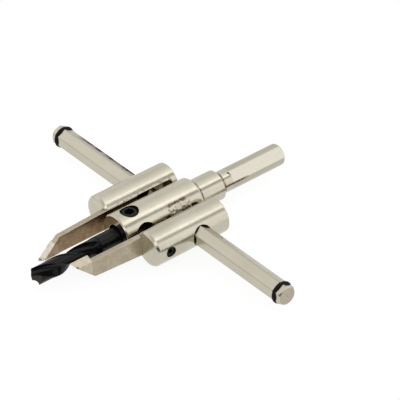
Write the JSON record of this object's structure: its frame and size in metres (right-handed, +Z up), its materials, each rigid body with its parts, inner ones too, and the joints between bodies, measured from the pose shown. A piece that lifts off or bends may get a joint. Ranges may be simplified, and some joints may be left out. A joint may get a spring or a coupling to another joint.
{
  "type": "adjustable circle cutter",
  "caption": "Adjustable circle cutter: turned arbor with flatted shank and pilot drill, hexagon cross bar, and tipped blades in holders that slide along the bar.",
  "frame": {"origin": "where the tool axis crosses the axis of the hexagon bar", "axes": "+X along the tool axis towards the shank's end, +Y along the bar towards the left holder, +Z up through the pilot screw"},
  "size_m": [0.1308, 0.155, 0.018],
  "materials": {
    "nickel_plate": "bright nickel plate over turned steel",
    "bar_steel": "satin drawn steel",
    "blade_steel": "ground steel",
    "hard_metal": "ground hard metal",
    "black_drill": "black oxide, satin",
    "black_screw": "black oxide, oiled",
    "ring_rubber": "matt black rubber"
  },
  "bodies": {
    "arbor": {"arbor_body": "nickel_plate", "hex_bar": "bar_steel", "pilot_drill": "black_drill", "left_stop_ring": "ring_rubber", "right_stop_ring": "ring_rubber"},
    "left_cutter": {"left_holder": "nickel_plate", "left_blade": "blade_steel", "left_blade_tip": "hard_metal", "left_blade_screw": "black_screw"},
    "right_cutter": {"right_holder": "nickel_plate", "right_blade": "blade_steel", "right_blade_tip": "hard_metal", "right_blade_screw": "black_screw"},
    "drill_clamp": {"pilot_screw": "black_screw"},
    "left_clamp": {"left_lock_screw": "black_screw"},
    "right_clamp": {"right_lock_screw": "black_screw"}
  },
  "joints": [
    {"name": "left_slide", "type": "slide", "parent": "arbor", "child": "left_cutter", "axis": [0, 1, 0], "range_m": [0, 0.0464]},
    {"name": "right_slide", "type": "slide", "parent": "arbor", "child": "right_cutter", "axis": [0, -1, 0], "range_m": [0, 0.0493]},
    {"name": "drill_clamp_turn", "type": "hinge", "parent": "arbor", "child": "drill_clamp", "pos_m": [-0.0188, 0, 0.0083], "axis": [0, 0, 1], "continuous": true},
    {"name": "left_clamp_turn", "type": "hinge", "parent": "left_cutter", "child": "left_clamp", "pos_m": [0.0125, 0.018, 0], "axis": [1, 0, 0], "continuous": true},
    {"name": "right_clamp_turn", "type": "hinge", "parent": "right_cutter", "child": "right_clamp", "pos_m": [0.0125, -0.018, 0], "axis": [1, 0, 0], "continuous": true}
  ]
}
